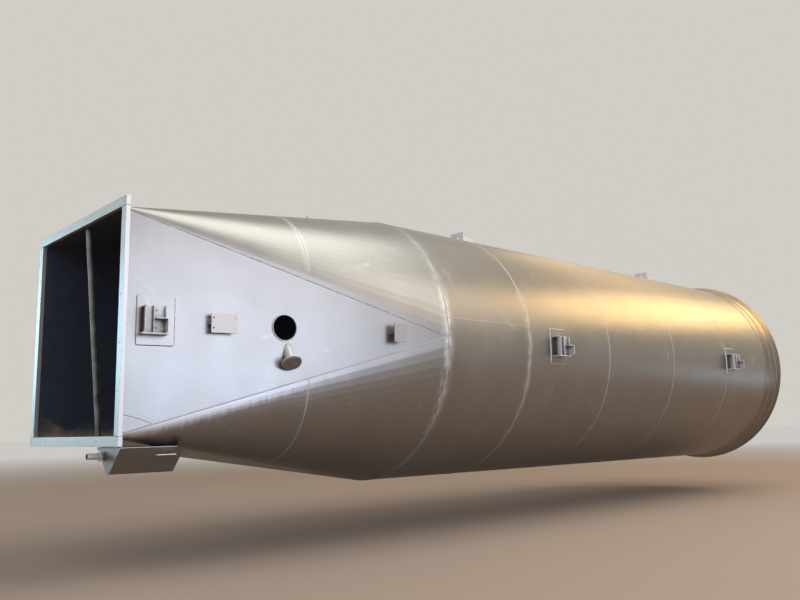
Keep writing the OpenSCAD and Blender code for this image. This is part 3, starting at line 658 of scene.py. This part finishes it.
inlet_foot = foot_on_panel(bracket_x[0], pad_half_l, pad_half_h)
near_feet = [inlet_foot]
for x in bracket_x[1:]:
    near_feet.append(foot_on_shell(x - pad_half_l, x + pad_half_l, 0.0, pad_half_h))
pad_feet = [inlet_foot[3:]] + near_feet[1:] + other_side(near_feet)
for x in lug_x:
    start = x - lug_pad_margin
    pad_feet.append(foot_on_shell(start, start + lug_pad_l, 90.0, lug_pad_half))
nozzle_way = near_out * math.cos(nozzle_slope) - upwards * math.sin(nozzle_slope)
along_top = Vector((math.cos(tilt), 0.0, math.sin(tilt)))
top_spot = Vector((top_nozzle_x, 0.0, wall_at(top_nozzle_x)))
small_feet = [
    foot_on_panel(plate_bracket_x, plate_bracket_half, bracket_plate_half),
    foot_on_panel(small_bracket_x, small_bracket_half, bracket_plate_half),
    foot_of_pipe(on_near(access_x, 0, 0), near_out, near_out, along_near, access_rim_r),
    foot_of_pipe(on_near(nozzle_x, 0, nozzle_z), near_out, nozzle_way, along_near, nozzle_r),
    foot_of_pipe(top_spot, top_out, top_out, along_top, top_nozzle_r, steps=24)]
lay_beads("pad_fillets", pad_feet, silver_plate, 0.012, 0.011, step=0.02, waver=0.0012)
# Painted shade along the low runs of the inlet's near pad.
lay_beads("pad_fillet_low", [inlet_foot[:4]], shaded_bead, 0.012, 0.011, step=0.02, waver=0.0012)
lay_beads("small_fillets", small_feet, painted_bead, 0.006, 0.005, step=0.015, waver=0.0008)

# Fillets inside the side brackets, where the stub's web, top shelf and bottom shelf
# stand on each pad, and the cleat's three legs on its back plate. They are small
# single runs, darkened as painted shade in the brackets' corners.
seat_gap, pad_t, stub_out = 0.0003, 0.016, 0.095
cleat_w, cleat_h, cleat_inset = 0.258, 0.33, 0.055
cleat_t = 2 * bracket_plate_half
plain_bay, shelf_t, shelf_over = 0.09, 0.02, 0.03
cleat_start = cleat_inset - pad_half_l
middle_leg = cleat_t + plain_bay
top_shelf_z, bottom_shelf_z = cleat_h / 2, -cleat_h / 2 - shelf_t
web_reach, leg_reach = 0.15, 0.16
pad_face_r = shell_r + seat_gap + pad_t
pad_face = seat_gap + pad_t + 0.0002
cleat_face = pad_face + stub_out + cleat_t


def on_bracket(x, dx, z, out):
    """A point on the near bracket at x, that far out from the duct's plate."""
    if x < transition_l:
        return on_near(x, dx, z, out)
    return Vector((x + dx, -shell_r - out, z))


bracket_runs = []
for x in bracket_x:
    flat = x < transition_l
    outwards = near_out if flat else Vector((0, -1, 0))
    level = along_near if flat else Vector((1, 0, 0))
    web = cleat_start + middle_leg + bracket_plate_half
    for side in (-1, 1):
        bracket_runs.append([(on_bracket(x, web + side * bracket_plate_half, z, pad_face),
                              (outwards + level * side).normalized()) for z in (-web_reach, web_reach)])
    for z, lean, over in ((top_shelf_z, 1, 0.0), (bottom_shelf_z, -1, shelf_over)):
        sag = 0.0 if flat else pad_face_r - math.sqrt(pad_face_r ** 2 - z * z)
        bracket_runs.append([(on_bracket(x, cleat_start + dx, z, pad_face - sag),
                              (outwards + upwards * lean).normalized()) for dx in (-over, cleat_w + over)])
    for leg, sides in ((0.0, (-1,)), (middle_leg, (-1, 1)), (cleat_w - cleat_t, (1,))):
        for side in sides:
            foot = cleat_start + leg + (cleat_t if side > 0 else 0.0)
            bracket_runs.append([(on_bracket(x, foot, z, cleat_face),
                                  (outwards + level * side).normalized()) for z in (-leg_reach, leg_reach)])
lay_beads("bracket_fillets", bracket_runs + other_side(bracket_runs), shaded_bead,
          0.004, 0.004, step=0.03, waver=0.0008)

# Welds of the inlet frame, which is made of four lengths of channel. It is welded to
# the transition all round behind the channels, and across its corners, where the
# upright channels meet the long ones.
flange_half, channel_face, weld_inset = 1.5, 0.12, 0.003
corner_line = flange_half - channel_face
corner_weld_y = (corner_line + weld_inset, flange_half - weld_inset)
corner_weld_x = (weld_inset, channel_depth - weld_inset)
upright_weld = [(Vector((channel_depth, -wall_half, z)), Vector((-1, -1, 0)).normalized())
                for z in (-panel_half, panel_half)]
frame_runs = [upright_weld, *other_side([upright_weld])]
for sz in (-1, 1):
    frame_runs.append([(Vector((channel_depth, y, sz * wall_half)), Vector((-0.7, 0, sz * 0.7)))
                       for y in (-panel_half, panel_half)])
for sy in (-1, 1):
    for sz in (-1, 1):
        frame_runs.append([(Vector((0.0, sy * y, sz * corner_line)), Vector((-1, 0, 0)))
                           for y in corner_weld_y])
        frame_runs.append([(Vector((x, sy * flange_half, sz * corner_line)), Vector((0, sy, 0)))
                           for x in corner_weld_x])
lay_beads("frame_welds", frame_runs, painted_bead, 0.006, 0.002, step=0.02, waver=0.0006)

# Brace tube and blind cover. The tube is welded upright inside the inlet, unpainted
# and darkened, and the cover is a plate disc on the nozzle's flange, coloured brown
# as a painted reflection of the floor in its silver paint.
tube_brown, tube_grey = (0.085, 0.072, 0.066, 1), (0.24, 0.21, 0.19, 1)
reflected_floor_dark, reflected_floor_pale = (0.105, 0.073, 0.053, 1), (0.185, 0.14, 0.105, 1)


def mottled_coat(name, dark, pale, metallic, least_rough):
    coat = blank_material(name)
    tree = coat.node_tree
    place = wire(tree, "ShaderNodeTexCoord").outputs["Object"]
    patches = noise(tree, place, scale=7.0, detail=9.0, roughness=0.68)
    colour = blend(tree, ramp(tree, patches, 0.35, 0.65), dark, pale)
    pits = noise(tree, place, scale=160.0, detail=3.0)
    bump = wire(tree, "ShaderNodeBump", {"Height": pits, "Strength": 0.25, "Distance": 0.001})
    end_coat(tree, colour, metallic, maths(tree, "MULTIPLY_ADD", patches, 0.3, least_rough), bump)
    return coat


give_coat("inlet_brace", mottled_coat("dark_tube", tube_brown, tube_grey, 0.4, 0.35))
# Painted reflection: the cover's brown stands for the floor mirrored in its silver paint.
give_coat("nozzle_cover", mottled_coat("brown_reflection", reflected_floor_dark, reflected_floor_pale, 0.1, 0.45))
